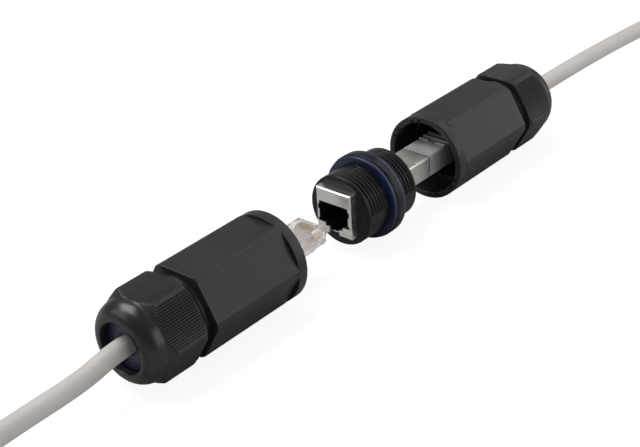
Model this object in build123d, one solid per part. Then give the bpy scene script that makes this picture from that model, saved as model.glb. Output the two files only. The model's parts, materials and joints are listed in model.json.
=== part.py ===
from build123d import *
from math import cos, hypot, pi, radians, sin, tan
import os

# Waterproof inline coupler for RJ45 plugs, shown pulled apart along its axis.
# Millimetres. X runs along the axis, from the front cable to the rear cable.
# The origin is the middle of the front port, on the front face of the jack module. +Z is up.

# Axial places and the gaps of the pulled-apart pieces
SLEEVE_START = 3.4
SLEEVE_LENGTH = 25.8
FLANGE_START = 15.7
FRONT_PLUG_GAP = 10.4
REAR_PLUG_DEPTH = 8.6
FRONT_SHELL_GAP = 34.7
REAR_SHELL_GAP = 21.3

# Fits and seats
RUNNING_CLEARANCE = 0.05
THREAD_CLEARANCE = 0.35
SEAT_CLEARANCE = 0.05
CUT_OVERLAP = 1.0

# Threaded sleeve with its flange
THREAD_CREST_RADIUS = 12.65
THREAD_DEPTH = 0.55
THREAD_PITCH = 1.5
CREST_WIDTH = 0.45
FRONT_THREAD_COUNT = 6
REAR_THREAD_COUNT = 5
STRIP_DROP = 0.1
SLEEVE_CHAMFER = 0.7
FLANGE_HEIGHT = 2.55
FLANGE_THICKNESS = 2.8
FLANGE_CHAMFER = 0.3
RELIEF_LENGTH = 0.3
THREAD_SECTOR_MIDDLES = (43.0, 223.0)
THREAD_SECTOR_ANGLE = 86.0

# Flange gaskets
GASKET_THICKNESS = 1.4
FRONT_GASKET_DROP = 0.35
REAR_GASKET_DROP = 0.05
GASKET_CHAMFER = 0.5

# Jack module: a metal shield in two halves, with a plastic insert behind each port
MODULE_WIDTH = 14.5
MODULE_HEIGHT = 16.3
MODULE_BOTTOM = -7.55
MODULE_LENGTH = 28.8
MODULE_CORNER = 0.4
SHIELD_WALL = 0.4
SHIELD_FACE = 1.0
PORT_HALF_WIDTH = 6.05
PORT_HALF_HEIGHT = 3.85
PORT_DEPTH = 11.0
STEP_HALF_WIDTH = 3.6
STEP_DROP = 1.2
LATCH_SLOT_HALF_WIDTH = 2.1
SIDE_NOTCH_DEPTH = 0.55
SIDE_NOTCHES = ((0.4, 2.6), (-3.75, -2.6))
SPRING_POCKET_TOP = 6.0
SPRING_POCKET_START = 2.0
SPRING_POCKET_MARGIN = 0.2
SPRING_SHELF_DROP = 1.2
BOARD_THICKNESS = 1.2

# Spring wires of a jack
CONTACT_COUNT = 8
CONTACT_PITCH = 1.02
SPRING_WIDTH = 0.4
SPRING_THICKNESS = 0.35
SPRING_HEIGHT = 5.3
SPRING_TIP_HEIGHT = 2.7
SPRING_BEND_X = 3.0
SPRING_TIP_X = 9.3

# Clear modular plug
PLUG_LENGTH = 21.5
PLUG_WIDTH = 11.68
PLUG_NOSE_TOP = 2.25
PLUG_BOTTOM = -3.8
PLUG_REAR_TOP = 3.9
PLUG_SLOPE_START = 9.8
PLUG_SLOPE_LENGTH = 2.0
PLUG_EDGE = 0.35
LEDGE_LENGTH = 6.3
LEDGES = ((-0.45, 0.25), (-1.5, 0.5))
BLADE_THICKNESS = 0.36
BLADE_START = 1.4
BLADE_LENGTH = 3.6
BLADE_TOP = 1.95
BLADE_BOTTOM = -0.5
BLADE_FIT = 0.03
BLADE_SEAT_GAP = 0.1
SLOT_LEAD_DEPTH = 1.0
WIRE_RADIUS = 0.46
WIRE_START = 1.2
WIRE_END_GAP = 0.1
JACKET_STOP = 14.6
LATCH_WIDTH = 3.6
LATCH_THICKNESS = 1.1
LATCH_LENGTH = 15.0
LATCH_ROOT = 0.9
LATCH_ROOT_LENGTH = 2.1
LATCH_ROOT_SLOPE = 0.5
LATCH_GRIP = 1.0
LATCH_GAP = 0.1
LATCH_DROP = 3.4
SHOULDER_WIDTH = 5.8
SHOULDER_SETBACK = 0.6

# Metal-shelled plug of the rear cable
METAL_PLUG_WIDTH = 11.9
METAL_PLUG_BOTTOM = -3.85
METAL_PLUG_HEIGHT = 8.12
METAL_PLUG_ROUNDING = 0.8
METAL_PLUG_GAP = 1.1
METAL_SHELL_WALL = 0.3
METAL_SHELL_LENGTH = 15.4
METAL_CAP_LENGTH = 17.2
CAP_SEAM = 0.05
CAP_EDGE = 0.25
CAP_WIRE_ROOM = 2.7
CAP_WIRE_ROOM_HEIGHT = 5.0
NOSE_WIDTH = 11.0
NOSE_INSERT_LENGTH = 20.0
RIDGE_WIDTH = 0.9
RIDGE_HEIGHT = 0.55
SPLIT_RIDGE_X = 9.6
FULL_RIDGES_X = (12.1, 14.9)
RIDGE_SPLIT = 3.2
MARK_WIDTH = 0.45
MARK_LENGTH = 1.9
MARK_DEPTH = 0.15
MARK_FROM_SEAM = 6.6

# Hexagonal shell, measured from its mouth towards the gland
SHELL_LENGTH = 40.9
SHELL_FLATS = 28.0
COLLAR_LENGTH = 3.9
COLLAR_RADIUS = 15.4
SHELL_EDGE = 0.25
SHELL_CORNER_RADIUS = 15.6
MOUTH_BORE_RADIUS = 13.25
MOUTH_BORE_DEPTH = 2.2
SHELL_THREAD_COUNT = 6
SHELL_THREAD_DEPTH = 0.3
SHELL_BORE_RADIUS = 11.8
SHELL_END_WALL = 4.9
SHELL_CONE_LENGTH = 2.6
POCKET_RADIUS = 13.95
POCKET_SIZE = (0.7, 1.2)
POCKET_DEPTH = 0.8
POCKET_SPACING = 12.5
POCKET_PAIRS = (-61.0, -15.0, 119.0, 165.0)

# Gland neck on the far end of the shell
NECK_CREST_RADIUS = 12.6
NECK_THREAD_COUNT = 7
NECK_THREAD_START = 0.5
FINGER_START = 12.1
FINGER_LENGTH = 6.5
FINGER_RADIUS = 11.3
FINGER_TIP_RADIUS = 10.2
FINGER_COUNT = 8
FINGER_SLOT = 0.9
NECK_BORE_RADIUS = 9.2

# Gland nut
NUT_GAP = 3.7
NUT_LENGTH = 20.9
NUT_FLATS = 28.0
NUT_CORNER_RADIUS = 15.75
NUT_HEX_LENGTH = 15.2
NUT_END_CHAMFER = 0.8
NUT_SHOULDER_LENGTH = 2.7
NUT_BORE_LENGTH = 10.0
NUT_SEAT_RADIUS = 12.3
NUT_SEAT_END_RADIUS = 9.5
LIP_LENGTH = 2.4
OPENING_RADIUS = 8.5
LIP_WIDTH = 0.4
DOME_RADIUS = 13.7
DOME_STEP = 0.2
RIB_COUNT = 17
RIB_PITCH = 0.86
RIB_GROOVE_WIDTH = 0.4
RIB_GROOVE_DEPTH = 0.35
RIBBED_FLATS = (0, 60, 180, 240)

# Sealing insert of the gland
SEAL_LENGTH = 15.2
SEAL_STANDOUT = 3.2
SEAL_CLEARANCE = 0.08
SEAL_EDGE = 0.5
SEAL_SLIT = 0.25
SEAL_SLIT_ANGLE = 60.0

# Cables, each straight through its gland and then down to the surface under the shells
CORD_RADIUS = 3.2
FRONT_ROUTE = (
    (-25, 0, 0),
    (-100, 0, 0),
    (-112, 0, -2.6),
    (-136, 0, -2.7),
    (-184, 0, -4.2),
    (-240, 0, -11.5),
    (-295, 0, -11.5),
)
REAR_ROUTE = (
    (48, 0, 0),
    (135, 0, 0),
    (182, 0, -1.7),
    (222, 0, -4.6),
    (262, 0, -11.5),
    (304, 0, -11.5),
)
BEND_SHARE = 0.45
BOOT_LENGTH = 13.0
BOOT_BIG_RADIUS = 3.85
BOOT_SMALL_RADIUS = 3.6
BOOT_RING_COUNT = 3
BOOT_RING_DEPTH = 0.3

# Worked out from the sizes above
SLEEVE_END = SLEEVE_START + SLEEVE_LENGTH
FRONT_NOSE_X = -FRONT_PLUG_GAP
FRONT_MOUTH_X = SLEEVE_START - FRONT_SHELL_GAP
REAR_MOUTH_X = SLEEVE_END + REAR_SHELL_GAP
FLANGE_END = FLANGE_START + FLANGE_THICKNESS
THREAD_ROOT_RADIUS = THREAD_CREST_RADIUS - THREAD_DEPTH
FLANGE_RADIUS = THREAD_CREST_RADIUS + FLANGE_HEIGHT
FRONT_GASKET_RADIUS = FLANGE_RADIUS - FRONT_GASKET_DROP
REAR_GASKET_RADIUS = FLANGE_RADIUS - REAR_GASKET_DROP
SHELL_CREST_RADIUS = THREAD_CREST_RADIUS + THREAD_CLEARANCE
SHELL_ROOT_RADIUS = SHELL_CREST_RADIUS + SHELL_THREAD_DEPTH
NECK_ROOT_RADIUS = NECK_CREST_RADIUS - THREAD_DEPTH
NUT_BORE_RADIUS = NECK_CREST_RADIUS + THREAD_CLEARANCE
NUT_START = SHELL_LENGTH + NUT_GAP
SHELL_BORE_END = SHELL_LENGTH - SHELL_END_WALL
NECK_END = SHELL_LENGTH + FINGER_START + FINGER_LENGTH
SEAL_END = NECK_END + SEAL_STANDOUT
SEAL_START = SEAL_END - SEAL_LENGTH
MODULE_TOP = MODULE_BOTTOM + MODULE_HEIGHT
HALF_MODULE = MODULE_LENGTH / 2
INSERT_END = HALF_MODULE - BOARD_THICKNESS / 2
REAR_NOSE_X = MODULE_LENGTH - REAR_PLUG_DEPTH
METAL_SHELL_START = MODULE_LENGTH + METAL_PLUG_GAP
METAL_SHELL_END_X = METAL_SHELL_START + METAL_SHELL_LENGTH
CAP_START = METAL_SHELL_END_X + CAP_SEAM
CAP_END = METAL_SHELL_END_X + METAL_CAP_LENGTH
CAP_JACKET_X = METAL_SHELL_END_X + CAP_WIRE_ROOM
METAL_PLUG_TOP = METAL_PLUG_BOTTOM + METAL_PLUG_HEIGHT
CORD_BORE_RADIUS = CORD_RADIUS + RUNNING_CLEARANCE
WIRE_Z = BLADE_BOTTOM - RUNNING_CLEARANCE - WIRE_RADIUS
CONTACT_PLACES = [(i - (CONTACT_COUNT - 1) / 2) * CONTACT_PITCH for i in range(CONTACT_COUNT)]


def turned(points):
    """Solid of revolution about the X axis, from (x, radius) points."""
    face = make_face(Polyline(*points, close=True))
    return revolve(face, Axis.X, 360)


def rod(start, end, radius):
    """Plain round bar along X."""
    return turned([(start, 0), (start, radius), (end, radius), (end, 0)])


def block(x, y, z):
    """Box from three (low, high) pairs."""
    size = [high - low for low, high in (x, y, z)]
    middle = [(high + low) / 2 for low, high in (x, y, z)]
    return Pos(*middle) * Box(*size)


def hex_bar(start, end, across_flats):
    """Hexagonal bar along X, with flats at the top and bottom."""
    section = RegularPolygon(radius=across_flats / 2, side_count=6, major_radius=False)
    return extrude(Plane.YZ.offset(start) * section, end - start)


def side_profile(points, half_width):
    """Prism across Y, from (x, z) points."""
    face = make_face(Plane.XZ * Polyline(*points, close=True))
    return extrude(face, half_width, both=True)


def thread_points(start, count, root, crest):
    """Profile points of ring ridges, from the root before the first to the root after the last."""
    points = []
    flank = (THREAD_PITCH - CREST_WIDTH) / 3
    for i in range(count):
        x = start + i * THREAD_PITCH
        points += [
            (x, root),
            (x + flank, crest),
            (x + flank + CREST_WIDTH, crest),
            (x + 2 * flank + CREST_WIDTH, root),
        ]
    return points


def around_x(shape, angle):
    """Turn a shape that stands on top (+Z) by an angle, positive towards -Y."""
    return Rot(angle, 0, 0) * shape


def mirrored(shape, x):
    """Mirror image across the plane at x, square to the axis."""
    return mirror(shape, about=Plane.YZ.offset(x))


def thread_strips(start, end):
    """The two smooth strips that interrupt the sleeve's thread, as solids between two places."""
    strips = []
    band = THREAD_CREST_RADIUS - STRIP_DROP
    tube = rod(start, end, band) - rod(start, end, THREAD_ROOT_RADIUS - THREAD_DEPTH)
    reach = 2 * FLANGE_RADIUS
    half_angle = radians(180 - THREAD_SECTOR_ANGLE) / 2
    across, up = reach * sin(half_angle), reach * cos(half_angle)
    face = make_face(Plane.YZ.offset(start) * Polyline((0, 0), (-across, up), (across, up), close=True))
    wedge = extrude(face, end - start)
    for middle in THREAD_SECTOR_MIDDLES:
        strips.append(tube & around_x(wedge, middle + 90))
    return strips


def threaded_sleeve():
    """Black sleeve with a flange, an interrupted thread each side, and a square bore."""
    front_threads = FRONT_THREAD_COUNT * THREAD_PITCH
    rear_threads = REAR_THREAD_COUNT * THREAD_PITCH
    front_seat = FLANGE_START - GASKET_THICKNESS
    rear_seat = FLANGE_END + GASKET_THICKNESS
    lead = THREAD_CREST_RADIUS - STRIP_DROP
    front_start = front_seat - RELIEF_LENGTH - front_threads
    rear_start = rear_seat + RELIEF_LENGTH
    points = [
        (SLEEVE_START, 0),
        (SLEEVE_START, lead - SLEEVE_CHAMFER),
        (SLEEVE_START + SLEEVE_CHAMFER, lead),
        (front_start - THREAD_DEPTH, lead),
    ]
    points += thread_points(
        front_start, FRONT_THREAD_COUNT, THREAD_ROOT_RADIUS, THREAD_CREST_RADIUS
    )
    points += [
        (FLANGE_START, THREAD_ROOT_RADIUS),
        (FLANGE_START, FLANGE_RADIUS - FLANGE_CHAMFER),
        (FLANGE_START + FLANGE_CHAMFER, FLANGE_RADIUS),
        (FLANGE_END - FLANGE_CHAMFER, FLANGE_RADIUS),
        (FLANGE_END, FLANGE_RADIUS - FLANGE_CHAMFER),
        (FLANGE_END, THREAD_ROOT_RADIUS),
    ]
    points += thread_points(
        rear_start, REAR_THREAD_COUNT, THREAD_ROOT_RADIUS, THREAD_CREST_RADIUS
    )
    points += [
        (rear_start + rear_threads + THREAD_DEPTH, lead),
        (SLEEVE_END - SLEEVE_CHAMFER, lead),
        (SLEEVE_END, lead - SLEEVE_CHAMFER),
        (SLEEVE_END, 0),
    ]
    sleeve = turned(points)
    for strip in thread_strips(front_start - THREAD_DEPTH, front_seat - RELIEF_LENGTH):
        sleeve += strip
    for strip in thread_strips(rear_start, rear_start + rear_threads + THREAD_DEPTH):
        sleeve += strip
    half_width = MODULE_WIDTH / 2 + SEAT_CLEARANCE
    low = MODULE_BOTTOM - SEAT_CLEARANCE
    high = MODULE_TOP + SEAT_CLEARANCE
    through = (SLEEVE_START - CUT_OVERLAP, SLEEVE_END + CUT_OVERLAP)
    return sleeve - block(through, (-half_width, half_width), (low, high))


def gasket(start, radius):
    """Flat ring with a chamfered outer edge, on the relief in front of the flange."""
    inner = THREAD_ROOT_RADIUS + SEAT_CLEARANCE
    end = start + GASKET_THICKNESS
    return turned(
        [
            (start, inner),
            (start, radius - GASKET_CHAMFER),
            (start + GASKET_CHAMFER, radius),
            (end, radius),
            (end, inner),
        ]
    )


def port_cut(depth, notches):
    """The stepped RJ45 opening, from in front of the face to a depth."""
    x = (-CUT_OVERLAP, depth)
    cut = block(x, (-PORT_HALF_WIDTH, PORT_HALF_WIDTH), (-PORT_HALF_HEIGHT, PORT_HALF_HEIGHT))
    step_floor = -PORT_HALF_HEIGHT - STEP_DROP
    cut += block(x, (-STEP_HALF_WIDTH, STEP_HALF_WIDTH), (step_floor, 0))
    slot = (-LATCH_SLOT_HALF_WIDTH, LATCH_SLOT_HALF_WIDTH)
    cut += block(x, slot, (MODULE_BOTTOM - CUT_OVERLAP, 0))
    if notches:
        reach = PORT_HALF_WIDTH + SIDE_NOTCH_DEPTH
        for low, high in SIDE_NOTCHES:
            cut += block(x, (-reach, reach), (low, high))
    return cut


def front_shield():
    """Front half of the metal shield, with the port in its face."""
    outer = block(
        (0, HALF_MODULE), (-MODULE_WIDTH / 2, MODULE_WIDTH / 2), (MODULE_BOTTOM, MODULE_TOP)
    )
    outer = chamfer(outer.edges().group_by(Axis.X)[0], MODULE_CORNER)
    half_room = MODULE_WIDTH / 2 - SHIELD_WALL
    room = block(
        (SHIELD_FACE, HALF_MODULE + CUT_OVERLAP),
        (-half_room, half_room),
        (MODULE_BOTTOM + SHIELD_WALL, MODULE_TOP - SHIELD_WALL),
    )
    return outer - room - port_cut(SHIELD_FACE + CUT_OVERLAP, True)


def front_jack_insert():
    """Black plastic body behind the front port, with the cavity and the spring pocket."""
    inset = SHIELD_WALL + SEAT_CLEARANCE
    half_width = MODULE_WIDTH / 2 - inset
    body = block(
        (SHIELD_FACE, INSERT_END),
        (-half_width, half_width),
        (MODULE_BOTTOM + inset, MODULE_TOP - inset),
    )
    half_pocket = CONTACT_COUNT * CONTACT_PITCH / 2 + SPRING_POCKET_MARGIN
    across = (-half_pocket, half_pocket)
    end = INSERT_END + CUT_OVERLAP
    pocket = block((SPRING_POCKET_START, end), across, (0, SPRING_POCKET_TOP))
    shelf_top = SPRING_HEIGHT - SPRING_SHELF_DROP
    shelf = block((PORT_DEPTH, end), across, (-CUT_OVERLAP, shelf_top))
    return body - port_cut(PORT_DEPTH, False) - (pocket - shelf)


def front_jack_contacts():
    """Eight spring wires: straight from the board to the front, then back down into the port."""
    half = SPRING_THICKNESS / 2
    slope = (SPRING_HEIGHT - SPRING_TIP_HEIGHT) / (SPRING_TIP_X - SPRING_BEND_X)
    rise = half * hypot(1, slope)
    points = [
        (INSERT_END, SPRING_HEIGHT + half),
        (SPRING_BEND_X - half, SPRING_HEIGHT + half),
        (SPRING_BEND_X - half, SPRING_HEIGHT - half),
        (SPRING_TIP_X, SPRING_TIP_HEIGHT - rise),
        (SPRING_TIP_X, SPRING_TIP_HEIGHT + rise),
        (SPRING_BEND_X + 2 * SPRING_THICKNESS, SPRING_HEIGHT - half),
        (INSERT_END, SPRING_HEIGHT - half),
    ]
    wire = side_profile(points, SPRING_WIDTH / 2)
    return Compound([Pos(0, y, 0) * wire for y in CONTACT_PLACES])


def circuit_board():
    """Board across the middle of the module, which joins the two sets of springs."""
    inset = SHIELD_WALL + SEAT_CLEARANCE
    half_width = MODULE_WIDTH / 2 - inset
    return block(
        (INSERT_END, MODULE_LENGTH - INSERT_END),
        (-half_width, half_width),
        (MODULE_BOTTOM + inset, MODULE_TOP - inset),
    )


def latch_lever():
    """Spring lever under a plug whose nose is at x = 0 and points to +X."""
    root = -LATCH_ROOT
    hinge = root - LATCH_ROOT_LENGTH
    tip = -LATCH_LENGTH
    inside = PLUG_BOTTOM + PLUG_EDGE
    points = [
        (root, inside),
        (root, PLUG_BOTTOM - LATCH_THICKNESS / 2),
        (root - LATCH_ROOT_SLOPE, PLUG_BOTTOM - LATCH_THICKNESS),
        (tip + LATCH_GRIP, PLUG_BOTTOM - LATCH_DROP - LATCH_THICKNESS),
        (tip, PLUG_BOTTOM - LATCH_DROP - LATCH_THICKNESS),
        (tip, PLUG_BOTTOM - LATCH_DROP),
        (tip + LATCH_GRIP, PLUG_BOTTOM - LATCH_DROP),
        (hinge, PLUG_BOTTOM - LATCH_GAP),
        (hinge, inside),
    ]
    lever = side_profile(points, LATCH_WIDTH / 2)
    low = PLUG_BOTTOM - LATCH_THICKNESS
    half = SHOULDER_WIDTH / 2
    shoulder = (hinge - SHOULDER_SETBACK, root - SHOULDER_SETBACK)
    return lever + block(shoulder, (-half, half), (low, inside))


def plug_blades():
    """Eight gold blades of a plug whose nose is at x = 0."""
    half = BLADE_THICKNESS / 2
    x = (-BLADE_START - BLADE_LENGTH, -BLADE_START)
    return Compound([block(x, (y - half, y + half), (BLADE_BOTTOM, BLADE_TOP)) for y in CONTACT_PLACES])


def blade_slots():
    """Room for the blades, open at the top, with a shallow lead from the front of the nose."""
    half = BLADE_THICKNESS / 2 + BLADE_FIT
    end = -BLADE_START - BLADE_LENGTH - BLADE_FIT
    top = PLUG_NOSE_TOP + CUT_OVERLAP
    slots = []
    for y in CONTACT_PLACES:
        across = (y - half, y + half)
        slots.append(block((end, -BLADE_START + BLADE_FIT), across, (BLADE_BOTTOM - BLADE_SEAT_GAP, top)))
        slots.append(block((end, CUT_OVERLAP), across, (PLUG_NOSE_TOP - SLOT_LEAD_DEPTH, top)))
    return slots


def wire_room(end):
    """Flat cavity for the eight conductors, from under the blades back to x = -end."""
    reach = CONTACT_PITCH * (CONTACT_COUNT - 1) / 2 + WIRE_RADIUS + RUNNING_CLEARANCE
    depth = WIRE_RADIUS + RUNNING_CLEARANCE
    return block((-end, WIRE_END_GAP - WIRE_START), (-reach, reach), (WIRE_Z - depth, WIRE_Z + depth))


def conductors(length):
    """Eight insulated conductors behind a nose at x = 0, from under the blades to x = -length."""
    wire = rod(-length, -WIRE_START, WIRE_RADIUS)
    return Compound([Pos(0, y, WIRE_Z) * wire for y in CONTACT_PLACES])


def clear_plug():
    """Clear modular plug with its latch lever: nose at x = 0, pointing to +X, contacts up."""
    slope_end = PLUG_SLOPE_START + PLUG_SLOPE_LENGTH
    points = [
        (0, PLUG_NOSE_TOP - PLUG_EDGE),
        (-PLUG_EDGE, PLUG_NOSE_TOP),
        (-PLUG_SLOPE_START, PLUG_NOSE_TOP),
        (-slope_end, PLUG_REAR_TOP),
        (-PLUG_LENGTH, PLUG_REAR_TOP),
        (-PLUG_LENGTH, PLUG_BOTTOM),
        (-2 * PLUG_EDGE, PLUG_BOTTOM),
        (0, PLUG_BOTTOM + 2 * PLUG_EDGE),
    ]
    half = PLUG_WIDTH / 2
    body = side_profile(points, half)
    for top, inset in LEDGES:
        across = (half - inset, half + CUT_OVERLAP)
        side = block((-LEDGE_LENGTH, CUT_OVERLAP), across, (PLUG_BOTTOM - CUT_OVERLAP, top))
        body -= [side, mirror(side, about=Plane.XZ)]
    body += latch_lever()
    body -= wire_room(JACKET_STOP)
    body -= rod(-PLUG_LENGTH - CUT_OVERLAP, -JACKET_STOP, CORD_BORE_RADIUS)
    return body - blade_slots()


def plug_boot():
    """Strain relief sleeve behind a plug whose nose is at x = 0."""
    start = -PLUG_LENGTH
    end = start - BOOT_LENGTH
    groove = BOOT_LENGTH / (2 * BOOT_RING_COUNT + 2)
    points = [(start, CORD_BORE_RADIUS), (start, BOOT_BIG_RADIUS)]
    for i in range(BOOT_RING_COUNT):
        x = start - groove * (2 * i + 2)
        share = (start - x) / BOOT_LENGTH
        radius = BOOT_BIG_RADIUS + (BOOT_SMALL_RADIUS - BOOT_BIG_RADIUS) * share
        points += [
            (x, radius),
            (x, radius - BOOT_RING_DEPTH),
            (x - groove, radius - BOOT_RING_DEPTH),
            (x - groove, radius),
        ]
    points += [(end, BOOT_SMALL_RADIUS), (end, CORD_BORE_RADIUS)]
    return turned(points)


def rear_plug_insert():
    """Plastic nose and latch of the metal-shelled plug, nose at x = 0."""
    half = NOSE_WIDTH / 2
    nose = block((-NOSE_INSERT_LENGTH, 0), (-half, half), (PLUG_BOTTOM, PLUG_NOSE_TOP))
    nose = chamfer(nose.edges().group_by(Axis.X)[-1], PLUG_EDGE)
    nose += latch_lever()
    nose -= wire_room(NOSE_INSERT_LENGTH + CUT_OVERLAP)
    return nose - blade_slots()


def metal_plug_shield():
    """Metal shell round the rear plug, in place: a box with two side tongues along the nose."""
    half = METAL_PLUG_WIDTH / 2
    length = (METAL_SHELL_START, METAL_SHELL_END_X)
    shell = block(length, (-half, half), (METAL_PLUG_BOTTOM, METAL_PLUG_TOP))
    shell = fillet(shell.edges() | Axis.X, METAL_PLUG_ROUNDING)
    half_room = half - METAL_SHELL_WALL
    floor = METAL_PLUG_BOTTOM + METAL_SHELL_WALL
    ceiling = METAL_PLUG_TOP - METAL_SHELL_WALL
    room = block(
        (METAL_SHELL_START + METAL_SHELL_WALL, METAL_SHELL_END_X + CUT_OVERLAP),
        (-half_room, half_room),
        (floor, ceiling),
    )
    shell -= fillet(room.edges() | Axis.X, METAL_PLUG_ROUNDING - METAL_SHELL_WALL)
    nose_half = NOSE_WIDTH / 2 + RUNNING_CLEARANCE
    shell -= block(
        (METAL_SHELL_START - CUT_OVERLAP, REAR_NOSE_X + NOSE_INSERT_LENGTH + CUT_OVERLAP),
        (-nose_half, nose_half),
        (PLUG_BOTTOM - RUNNING_CLEARANCE, PLUG_NOSE_TOP + RUNNING_CLEARANCE),
    )
    tongue = (nose_half, nose_half + METAL_SHELL_WALL)
    tongue_x = (REAR_NOSE_X + BLADE_START, METAL_SHELL_START + METAL_SHELL_WALL)
    for side in (1, -1):
        y = sorted(side * value for value in tongue)
        shell += block(tongue_x, y, (PLUG_BOTTOM, PLUG_NOSE_TOP))
    mark_x = METAL_SHELL_END_X - MARK_FROM_SEAM
    mark_z = (METAL_PLUG_TOP - MARK_DEPTH, METAL_PLUG_TOP + CUT_OVERLAP)
    return shell - block((mark_x, mark_x + MARK_WIDTH), (-half, -half + MARK_LENGTH), mark_z)


def metal_plug_cap():
    """Rear cap of the metal-shelled plug, in place, with gripping ridges near its end."""
    half = METAL_PLUG_WIDTH / 2
    cap = block((CAP_START, CAP_END), (-half, half), (METAL_PLUG_BOTTOM, METAL_PLUG_TOP))
    cap = fillet(cap.edges() | Axis.X, METAL_PLUG_ROUNDING)
    cap = chamfer(cap.edges().group_by(Axis.X)[-1], CAP_EDGE)
    top = (METAL_PLUG_TOP - RIDGE_HEIGHT, METAL_PLUG_TOP + RIDGE_HEIGHT)
    ridge_end = half - METAL_PLUG_ROUNDING / 2
    half_split = RIDGE_SPLIT / 2
    split_start = METAL_SHELL_END_X + SPLIT_RIDGE_X
    split_x = (split_start, split_start + RIDGE_WIDTH)
    cap += block(split_x, (half_split, ridge_end), top)
    cap += block(split_x, (-ridge_end, -half_split), top)
    for place in FULL_RIDGES_X:
        start = METAL_SHELL_END_X + place
        cap += block((start, start + RIDGE_WIDTH), (-ridge_end, ridge_end), top)
    reach = CONTACT_PITCH * CONTACT_COUNT / 2 + RUNNING_CLEARANCE
    half_height = CAP_WIRE_ROOM_HEIGHT / 2
    cap -= block((CAP_START - CUT_OVERLAP, CAP_JACKET_X), (-reach, reach), (-half_height, half_height))
    return cap - rod(CAP_JACKET_X, CAP_END + CUT_OVERLAP, CORD_BORE_RADIUS)


def shell():
    """Hexagonal shell with its threaded mouth and gland neck: mouth at x = 0, gland to +X."""
    collar = turned(
        [
            (0, 0),
            (0, COLLAR_RADIUS - SHELL_EDGE),
            (SHELL_EDGE, COLLAR_RADIUS),
            (COLLAR_LENGTH, COLLAR_RADIUS),
            (COLLAR_LENGTH, 0),
        ]
    )
    envelope = turned(
        [
            (0, 0),
            (0, COLLAR_RADIUS),
            (COLLAR_LENGTH, COLLAR_RADIUS),
            (COLLAR_LENGTH + SHELL_EDGE, SHELL_CORNER_RADIUS),
            (SHELL_LENGTH - SHELL_EDGE, SHELL_CORNER_RADIUS),
            (SHELL_LENGTH, SHELL_CORNER_RADIUS - SHELL_EDGE),
            (SHELL_LENGTH, 0),
        ]
    )
    body = collar + (hex_bar(COLLAR_LENGTH / 2, SHELL_LENGTH, SHELL_FLATS) & envelope)
    neck_thread = SHELL_LENGTH + NECK_THREAD_START
    finger_start = SHELL_LENGTH + FINGER_START
    inside = SHELL_LENGTH - CUT_OVERLAP
    neck = [(inside, 0), (inside, NECK_ROOT_RADIUS)]
    neck += thread_points(neck_thread, NECK_THREAD_COUNT, NECK_ROOT_RADIUS, NECK_CREST_RADIUS)
    neck += [
        (finger_start, NECK_ROOT_RADIUS),
        (finger_start, FINGER_RADIUS),
        (finger_start + FINGER_LENGTH / 3, FINGER_RADIUS),
        (NECK_END, FINGER_TIP_RADIUS),
        (NECK_END, 0),
    ]
    body += turned(neck)
    bore = [
        (-CUT_OVERLAP, 0),
        (-CUT_OVERLAP, MOUTH_BORE_RADIUS),
        (MOUTH_BORE_DEPTH, MOUTH_BORE_RADIUS),
    ]
    thread_start = MOUTH_BORE_DEPTH + CREST_WIDTH
    bore += thread_points(thread_start, SHELL_THREAD_COUNT, SHELL_CREST_RADIUS, SHELL_ROOT_RADIUS)
    thread_end = thread_start + SHELL_THREAD_COUNT * THREAD_PITCH
    bore += [
        (thread_end, SHELL_CREST_RADIUS),
        (thread_end, SHELL_BORE_RADIUS),
        (SHELL_BORE_END, SHELL_BORE_RADIUS),
        (SHELL_BORE_END + SHELL_CONE_LENGTH, NECK_BORE_RADIUS),
        (NECK_END + CUT_OVERLAP, NECK_BORE_RADIUS),
        (NECK_END + CUT_OVERLAP, 0),
    ]
    body -= turned(bore)
    slots = []
    slot = block(
        (finger_start, NECK_END + CUT_OVERLAP),
        (-FINGER_SLOT / 2, FINGER_SLOT / 2),
        (0, NECK_CREST_RADIUS),
    )
    for i in range(FINGER_COUNT):
        slots.append(around_x(slot, 360 / FINGER_COUNT * i))
    height, width = POCKET_SIZE
    pocket = block(
        (-CUT_OVERLAP, POCKET_DEPTH),
        (-width / 2, width / 2),
        (POCKET_RADIUS - height / 2, POCKET_RADIUS + height / 2),
    )
    for middle in POCKET_PAIRS:
        for side in (-1, 1):
            slots.append(around_x(pocket, middle + side * POCKET_SPACING / 2))
    return body - slots


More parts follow.
